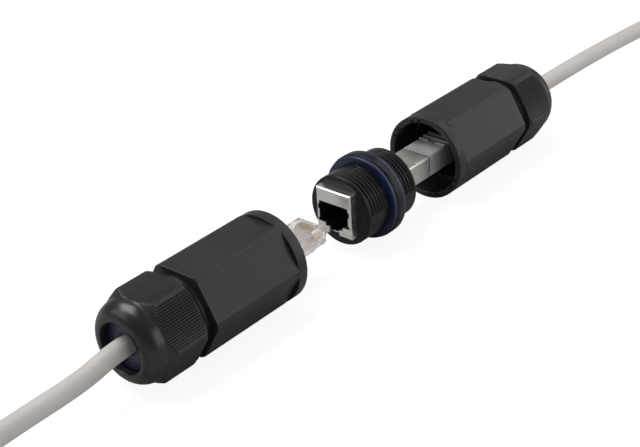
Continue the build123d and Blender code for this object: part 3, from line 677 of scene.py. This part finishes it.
def shell_angles():
    """Angles of a shell: finer at the corners' edges, the pockets and the finger slots."""
    bands = []
    cut = degrees(acos(SHELL_APOTHEM / SHELL_CORNER_RADIUS))
    for i in range(6):
        for side in (-1, 1):
            bands.append((60 * i + side * cut, *CORNER_BAND))
    for middle in POCKET_MIDDLES:
        for side in (-1, 1):
            for edge in (-1, 1):
                at = middle + side * POCKET_SPACING / 2 + edge * POCKET_HALF_WIDTH
                bands.append((at, *EDGE_BAND))
    slot = degrees(FINGER_SLOT / 2 / SLOT_RADIUS)
    for i in range(FINGER_COUNT):
        for side in (-1, 1):
            bands.append((360 / FINGER_COUNT * i + side * slot, *EDGE_BAND))
    return spread_angles(SHELL_ANGLE_STEP, *bands)


def make_shells():
    """Both shells, with the same rings and angles."""
    rings, angles = shell_rings(), shell_angles()
    for side, place, _, flip in SIDES:
        name = side + "_shell"
        polar_piece(name + "_body", rings, angles, "black_nylon", name, name, place, flip)


# Gland nuts: sizes in millimetres from the near end
NUT_LENGTH = 20.9
NUT_APOTHEM = 14.0
NUT_CORNER_RADIUS = 15.75
NUT_HEX_LENGTH = 15.2
NUT_SHOULDER_START = 12.5
NUT_END_CHAMFER = 0.8
NUT_BORE = 12.95
NUT_BORE_LENGTH = 10.0
NUT_SEAT = (12.3, 9.5)
LIP_START = 18.5
OPENING_RADIUS = 8.5
DOME_RADIUS = 13.7
DOME_TIP_RADIUS = 8.9
RIB_COUNT = 19
RIB_PITCH = 0.86
RIB_GROOVE = 0.38
RIB_DEPTH = 0.42
RIBBED_FLATS = (0, 60, 180, 240)

# Places of the rings along the nut's hexagon before its shoulder, and over the shoulder
NUT_RING_PLACES = [0.0, 0.15, 0.35, 0.6, 0.85, 1.1, 2.5, 5, 7.5, 10, 11.5]
SHOULDER_LEAD = 0.5
SHOULDER_STEP = 0.2
SHOULDER_RINGS = 16
SHOULDER_DROP = 0.1
DOME_STEPS = 14
OPENING_EDGE = 0.4
NUT_BORE_EDGE = 0.4
NUT_FACE_RADIUS = 13.35
NUT_FACE_EDGE = 0.3
FLAT_SOFTNESS = 0.3
RIB_SOFTNESS = 0.12
NUT_ANGLE_STEP = 3.0
NUT_CORNER_BAND = (1.5, 0.5)


def rib_drop(angle):
    """Depth of the gripping grooves at an angle: narrow ribs with sharp valleys."""
    flat = round(facing(angle) / 60) * 60 % 360
    if flat not in RIBBED_FLATS:
        return 0.0
    y = NUT_APOTHEM * tan(radians(facing(angle - flat)))
    reach = (RIB_COUNT - 1) / 2 * RIB_PITCH
    place = min(max(y, -reach), reach)
    near = round((place + reach) / RIB_PITCH) * RIB_PITCH - reach
    away = abs(y - near)
    return RIB_DEPTH * max(0.0, 1 - away / RIB_GROOVE)


def nut_limit(x):
    """Turned outline that cuts the nut's hexagon at both ends."""
    if x < NUT_END_CHAMFER:
        return NUT_CORNER_RADIUS - (NUT_END_CHAMFER - x)
    if x > NUT_SHOULDER_START:
        share = (x - NUT_SHOULDER_START) / (NUT_HEX_LENGTH - NUT_SHOULDER_START)
        return NUT_CORNER_RADIUS + (DOME_RADIUS - SHOULDER_DROP - NUT_CORNER_RADIUS) * share
    return NUT_CORNER_RADIUS


def nut_outer(x, angle):
    """Outer radius of the nut's hexagonal part."""
    flat = hex_radius(angle, NUT_APOTHEM)
    ribbed = flat - rib_drop(angle)
    limit = nut_limit(x)
    return min(soft_min(flat, limit, FLAT_SOFTNESS), soft_min(ribbed, limit, RIB_SOFTNESS))


def nut_rings():
    """All rings of a nut, from the bore at the near end outside, over the dome and back inside."""
    rings = [
        flat_ring(NUT_BORE_EDGE, NUT_BORE),
        flat_ring(0.0, NUT_BORE + NUT_FACE_EDGE),
        flat_ring(0.0, NUT_FACE_RADIUS),
    ]
    shoulder = [
        NUT_SHOULDER_START - SHOULDER_LEAD + SHOULDER_STEP * i for i in range(SHOULDER_RINGS)
    ]
    for x in NUT_RING_PLACES + shoulder:
        rings.append(lambda angle, x=x: (x, nut_outer(x, angle)))
    for i in range(DOME_STEPS + 1):
        turn = radians(90 * i / DOME_STEPS)
        x = NUT_HEX_LENGTH + (NUT_LENGTH - NUT_HEX_LENGTH) * sin(turn)
        radius = DOME_TIP_RADIUS + (DOME_RADIUS - DOME_TIP_RADIUS) * cos(turn)
        rings.append(flat_ring(x, radius))
    centre = (NUT_LENGTH - OPENING_EDGE, OPENING_RADIUS + OPENING_EDGE)
    for x, radius in arc_steps(centre, OPENING_EDGE, 0, -90)[1:]:
        rings.append(flat_ring(x, radius))
    rings += [
        flat_ring(LIP_START, OPENING_RADIUS),
        flat_ring(LIP_START, NUT_SEAT[1]),
        flat_ring(NUT_BORE_LENGTH, NUT_SEAT[0]),
        flat_ring(NUT_BORE_LENGTH, NUT_BORE),
    ]
    return rings


def nut_angles():
    """Angles of a nut: fine over the ribs and at the corners."""
    bands = []
    for flat in RIBBED_FLATS:
        for i in range(RIB_COUNT):
            y = (i - (RIB_COUNT - 1) / 2) * RIB_PITCH
            for share in (-1, 0, 1):
                edge = y + share * RIB_GROOVE
                bands.append((flat + degrees(atan2(edge, NUT_APOTHEM)), *ONE_ANGLE))
    cut = degrees(acos(NUT_APOTHEM / NUT_CORNER_RADIUS))
    for i in range(6):
        for side in (-1, 1):
            bands.append((60 * i + side * cut, *NUT_CORNER_BAND))
    return spread_angles(NUT_ANGLE_STEP, *bands)


def make_nuts():
    """Both gland nuts, with the same rings and angles."""
    rings, angles = nut_rings(), nut_angles()
    for side, _, place, flip in SIDES:
        body = side + "_nut"
        material, node = body + "_nylon", side + "_gland_nut"
        polar_piece(body + "_body", rings, angles, material, body, node, place, flip)


# Sleeve and gaskets: places along the X axis and radii, in millimetres
SLEEVE_START = 3.4
SLEEVE_END = 29.2
SLEEVE_CREST = 12.65
SLEEVE_ROOT = 12.1
SLEEVE_SMOOTH = 12.55
FLANGE_SPAN = (15.7, 18.5)
FLANGE_RADIUS = 15.2
FRONT_GASKET_SPAN = (14.3, 15.7)
REAR_GASKET_SPAN = (18.5, 19.9)
FRONT_GASKET_RADIUS = 14.85
REAR_GASKET_RADIUS = 15.15
FRONT_THREAD = (5.0, 14.0)
REAR_THREAD = (20.2, 27.7)
THREAD_SECTORS = (43.0, 223.0)
THREAD_SECTOR_HALF = 43.0
HOLE_HALF_WIDTH = 7.3
HOLE_TOP = 8.8
HOLE_BOTTOM = 7.6
SLEEVE_THREAD_STEP = 0.125
SLEEVE_ROUNDING = 0.7
SLEEVE_FACE_DROP = 0.9
SECTOR_SLOPE = 1.2
SLOPE_BAND = (0.9, 0.6)
FRONT_THREAD_LEADS = (0.45, 0.1)
REAR_THREAD_LEAD = 0.4
FLANGE_EDGE = 0.3
GROOVE = 1.5
GASKET_EDGE = 0.5
GASKET_ROOM = 0.05
GASKET_STEPS = 6
SLEEVE_ANGLE_STEP = 1.5
GASKET_ANGLE_STEP = 2.0


def threaded_share(angle):
    """1 where the sleeve is threaded and 0 on its smooth strips, with a short slope between."""
    away = min(abs(facing(angle - middle)) for middle in THREAD_SECTORS)
    return min(1.0, max(0.0, (THREAD_SECTOR_HALF - away) / SECTOR_SLOPE))


def sleeve_rings_between(span):
    """Rings of one of the sleeve's interrupted threads."""
    start, end = span
    count = round((end - start) / SLEEVE_THREAD_STEP)
    rings = []
    for i in range(count + 1):
        x = start + (end - start) * i / count

        def ring(angle, x=x):
            thread = SLEEVE_ROOT + (SLEEVE_CREST - SLEEVE_ROOT) * thread_height(x, angle, start, end)
            share = threaded_share(angle)
            return x, share * thread + (1 - share) * SLEEVE_SMOOTH

        rings.append(ring)
    return rings


def hole_radius(angle):
    """Radius of the sleeve's square hole at an angle."""
    turn = radians(angle)
    height = HOLE_TOP if cos(turn) > 0 else HOLE_BOTTOM
    across = HOLE_HALF_WIDTH / max(abs(sin(turn)), LEAST_SHARE)
    upright = height / max(abs(cos(turn)), LEAST_SHARE)
    return min(across, upright)


def sleeve_rings():
    """All rings of the sleeve, from the hole's front edge outside to the rear and back inside."""
    lead = SLEEVE_SMOOTH
    rounding, edge = SLEEVE_ROUNDING, FLANGE_EDGE

    def arc(x, radius, size, start, end):
        return [flat_ring(*point) for point in arc_steps((x, radius), size, start, end)]

    rings = [lambda angle: (SLEEVE_START, hole_radius(angle))]
    rings.append(flat_ring(SLEEVE_START, lead - SLEEVE_FACE_DROP))
    rings += arc(SLEEVE_START + rounding, lead - rounding, rounding, 170, 95)
    smooth_end, slope_end = (FRONT_THREAD[0] - before for before in FRONT_THREAD_LEADS)
    rings.append(flat_ring(smooth_end, lead))
    rings.append(
        lambda angle: (
            slope_end,
            SLEEVE_ROOT + (lead - SLEEVE_ROOT) * (1 - threaded_share(angle)),
        )
    )
    rings += sleeve_rings_between(FRONT_THREAD)
    low, high = FLANGE_SPAN
    rings += [flat_ring(low - GROOVE, SLEEVE_ROOT), flat_ring(low, SLEEVE_ROOT)]
    rings += arc(low + edge, FLANGE_RADIUS - edge, edge, 180, 90)
    rings += arc(high - edge, FLANGE_RADIUS - edge, edge, 90, 0)
    rings += [flat_ring(high, SLEEVE_ROOT), flat_ring(high + GROOVE, SLEEVE_ROOT)]
    rings += sleeve_rings_between(REAR_THREAD)
    rings.append(flat_ring(REAR_THREAD[1] + REAR_THREAD_LEAD, lead))
    rings += arc(SLEEVE_END - rounding, lead - rounding, rounding, 85, 10)
    rings.append(flat_ring(SLEEVE_END, lead - SLEEVE_FACE_DROP))
    rings.append(lambda angle: (SLEEVE_END, hole_radius(angle)))
    return rings


def make_sleeve():
    """Threaded sleeve with its flange."""
    slope = THREAD_SECTOR_HALF - SECTOR_SLOPE / 2
    bands = [
        (middle + side * slope, *SLOPE_BAND) for middle in THREAD_SECTORS for side in (-1, 1)
    ]
    for height in (HOLE_TOP, HOLE_BOTTOM):
        corner = degrees(atan2(HOLE_HALF_WIDTH, height))
        turn = corner if height == HOLE_TOP else 180 - corner
        bands += [(turn, *ONE_ANGLE), (-turn, *ONE_ANGLE)]
    angles = spread_angles(SLEEVE_ANGLE_STEP, *bands)
    polar_piece("sleeve_body", sleeve_rings(), angles, "sleeve_nylon", "coupler", "threaded_sleeve")


def make_gaskets():
    """Blue rings on both faces of the flange, each with one rounded rim."""
    inner = SLEEVE_ROOT + GASKET_ROOM
    edge = GASKET_EDGE
    for name, (start, end), outer in (
        ("front_gasket", FRONT_GASKET_SPAN, FRONT_GASKET_RADIUS),
        ("rear_gasket", REAR_GASKET_SPAN, REAR_GASKET_RADIUS),
    ):
        points = [(start, inner), (start, outer - edge)]
        points += arc_steps((start + edge, outer - edge), edge, 180, 90, GASKET_STEPS)[1:]
        points += [(end, outer), (end, inner)]
        if name == "rear_gasket":
            points = [(start + end - x, radius) for x, radius in points][::-1]
        rings = [flat_ring(x, radius) for x, radius in points]
        angles = spread_angles(GASKET_ANGLE_STEP)
        polar_piece(name + "_ring", rings, angles, "gasket", "coupler", name)


# Seals: places in millimetres from the shell's mouth, as in the solids
SEAL_SPAN = (47.5, 62.7)
SEAL_RADIUS = 9.12
SEAL_BORE = 3.28
SEAL_SLIT_ANGLE = 60.0
SEAL_SLIT = 0.25
SEAL_EDGE = 0.5
SEAL_BORE_EDGE = 0.2
SEAL_ANGLE_STEP = 3


def make_seals():
    """Slit rubber seals: the slit opens the ring from the cable to its rim."""
    start, end = SEAL_SPAN
    edge, lead = SEAL_EDGE, SEAL_BORE_EDGE
    outline = [(start, SEAL_BORE + lead), (start, SEAL_RADIUS - edge)]
    outline += arc_steps((start + edge, SEAL_RADIUS - edge), edge, 180, 90)[1:]
    outline += arc_steps((end - edge, SEAL_RADIUS - edge), edge, 90, 0)
    outline += [(end, SEAL_BORE + edge), (end - edge, SEAL_BORE), (start + lead, SEAL_BORE)]
    rings = [flat_ring(x, radius) for x, radius in outline]
    turns = range(0, 360 + SEAL_ANGLE_STEP, SEAL_ANGLE_STEP)
    angles = [SEAL_SLIT_ANGLE + turn for turn in turns]
    for side, place, _, flip in SIDES:
        name = side + "_seal"
        polar_piece(
            name + "_body", rings, angles, "blue_rubber", name, name, place, flip, slit=SEAL_SLIT
        )


def make_cord(name, body, route):
    """Cable along its route: a smooth curve through the straight stretch and down to the floor."""
    curve = bpy.data.curves.new(name + "_jacket", "CURVE")
    curve.dimensions = "3D"
    curve.resolution_u = CORD_STEPS
    curve.bevel_depth = CORD_RADIUS * MM
    curve.bevel_resolution = CORD_ROUND_STEPS
    curve.use_fill_caps = True
    spline = curve.splines.new("NURBS")
    spline.points.add(len(route) - 1)
    for point, place in zip(spline.points, route):
        point.co = (*(value * MM for value in place), 1)
    spline.order_u = 3
    spline.use_endpoint_u = True
    piece = link(bpy.data.objects.new(name + "_jacket", curve))
    curve.materials.append(MATERIALS["cable_jacket"])
    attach(piece, body)
    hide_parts(name)


# Flat-faced pieces: faces within this angle are joined, in degrees, and with the greatest weight
# for large faces the shading of a flat isn't bent by the rounding beside it
FLAT_JOIN = 0.5
BEVEL_STEPS = 2
FACE_WEIGHT = 100


def shaped(node, width):
    """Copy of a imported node's mesh with its flat faces joined and its edges rounded."""
    source = frame["nodes"][node]
    mesh = bpy.data.meshes.new(node + "_shaped")
    work = bmesh.new()
    work.from_mesh(source.data)
    bmesh.ops.remove_doubles(work, verts=work.verts, dist=WELD)
    bmesh.ops.dissolve_limit(
        work, angle_limit=radians(FLAT_JOIN), verts=work.verts, edges=work.edges, delimit={"NORMAL"}
    )
    for face in work.faces:
        face.smooth = True
    work.to_mesh(mesh)
    work.free()
    mesh.materials.clear()
    mesh.materials.append(source.data.materials[0])
    mesh.set_sharp_from_angle(angle=radians(FLAT_SHARP))
    piece = link(bpy.data.objects.new(node + "_shaped", mesh))
    bevel = piece.modifiers.new("rounded_edges", "BEVEL")
    bevel.width = width * MM
    bevel.segments = BEVEL_STEPS
    bevel.limit_method = "ANGLE"
    bevel.angle_limit = radians(FLAT_SHARP)
    bevel.harden_normals = True
    bevel.use_clamp_overlap = True
    weighted = piece.modifiers.new("even_faces", "WEIGHTED_NORMAL")
    weighted.keep_sharp = True
    weighted.weight = FACE_WEIGHT
    stand_in(piece, source["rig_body"], node)


def make_floor():
    """Plain pale floor that shows nearly white to the camera and keeps a soft shadow."""
    material, tree, shader = new_material("floor")
    shader.inputs["Base Color"].default_value = (FLOOR_GREY, FLOOR_GREY, FLOOR_GREY, 1)
    shader.inputs["Roughness"].default_value = FLOOR_ROUGHNESS
    shader.inputs["Specular IOR Level"].default_value = FLOOR_SPECULAR
    glow = tree.nodes.new("ShaderNodeEmission")
    glow.inputs["Color"].default_value = (1, 1, 1, 1)
    glow.inputs["Strength"].default_value = FLOOR_GLOW
    path = tree.nodes.new("ShaderNodeLightPath").outputs
    straight = calculated(tree, "MAXIMUM", path["Is Camera Ray"], path["Is Transmission Ray"])
    mix = tree.nodes.new("ShaderNodeMixShader")
    tree.links.new(calculated(tree, "MULTIPLY", straight, FLOOR_GLOW_SHARE), mix.inputs["Fac"])
    tree.links.new(shader.outputs[0], mix.inputs[1])
    tree.links.new(glow.outputs[0], mix.inputs[2])
    tree.links.new(mix.outputs[0], tree.nodes["Material Output"].inputs["Surface"])
    mesh = bpy.data.meshes.new("floor")
    corners = [(-1, -1), (1, -1), (1, 1), (-1, 1)]
    vertices = [(x * FLOOR_REACH, y * FLOOR_REACH, FLOOR_Z) for x, y in corners]
    mesh.from_pydata(vertices, [], [(0, 1, 2, 3)])
    mesh.materials.append(material)
    link(bpy.data.objects.new("floor", mesh))


def make_world():
    """Even white surroundings: dim as a light, and white to the camera."""
    world = bpy.data.worlds.new("world")
    bpy.context.scene.world = world
    world.use_nodes = True
    tree = world.node_tree
    light = tree.nodes["Background"]
    light.inputs["Color"].default_value = (1, 1, 1, 1)
    light.inputs["Strength"].default_value = WORLD_LIGHT
    white = tree.nodes.new("ShaderNodeBackground")
    white.inputs["Color"].default_value = (1, 1, 1, 1)
    white.inputs["Strength"].default_value = WORLD_SEEN
    path = tree.nodes.new("ShaderNodeLightPath")
    mix = tree.nodes.new("ShaderNodeMixShader")
    tree.links.new(path.outputs["Is Camera Ray"], mix.inputs["Fac"])
    tree.links.new(light.outputs[0], mix.inputs[1])
    tree.links.new(white.outputs[0], mix.inputs[2])
    tree.links.new(mix.outputs[0], tree.nodes["World Output"].inputs["Surface"])


def soft_light(name, place, size, watts):
    """Square soft box aimed at the middle of the object."""
    data = bpy.data.lights.new(name, "AREA")
    data.shape = "SQUARE"
    data.size = size
    data.energy = watts
    lamp = link(bpy.data.objects.new(name, data))
    lamp.location = place
    lamp.rotation_euler = (-Vector(place)).to_track_quat("-Z", "Y").to_euler()


bpy.context.scene.view_settings.view_transform = "Standard"
make_camera()
make_floor()
make_world()
for lamp in LAMPS:
    soft_light(*lamp)
dress_nodes()
make_shells()
make_nuts()
make_sleeve()
make_gaskets()
make_seals()
for node, width in EDGES.items():
    shaped(node, width)
make_cord("front_cord", "front_cable", FRONT_ROUTE)
make_cord("rear_cord", "rear_cable", REAR_ROUTE)
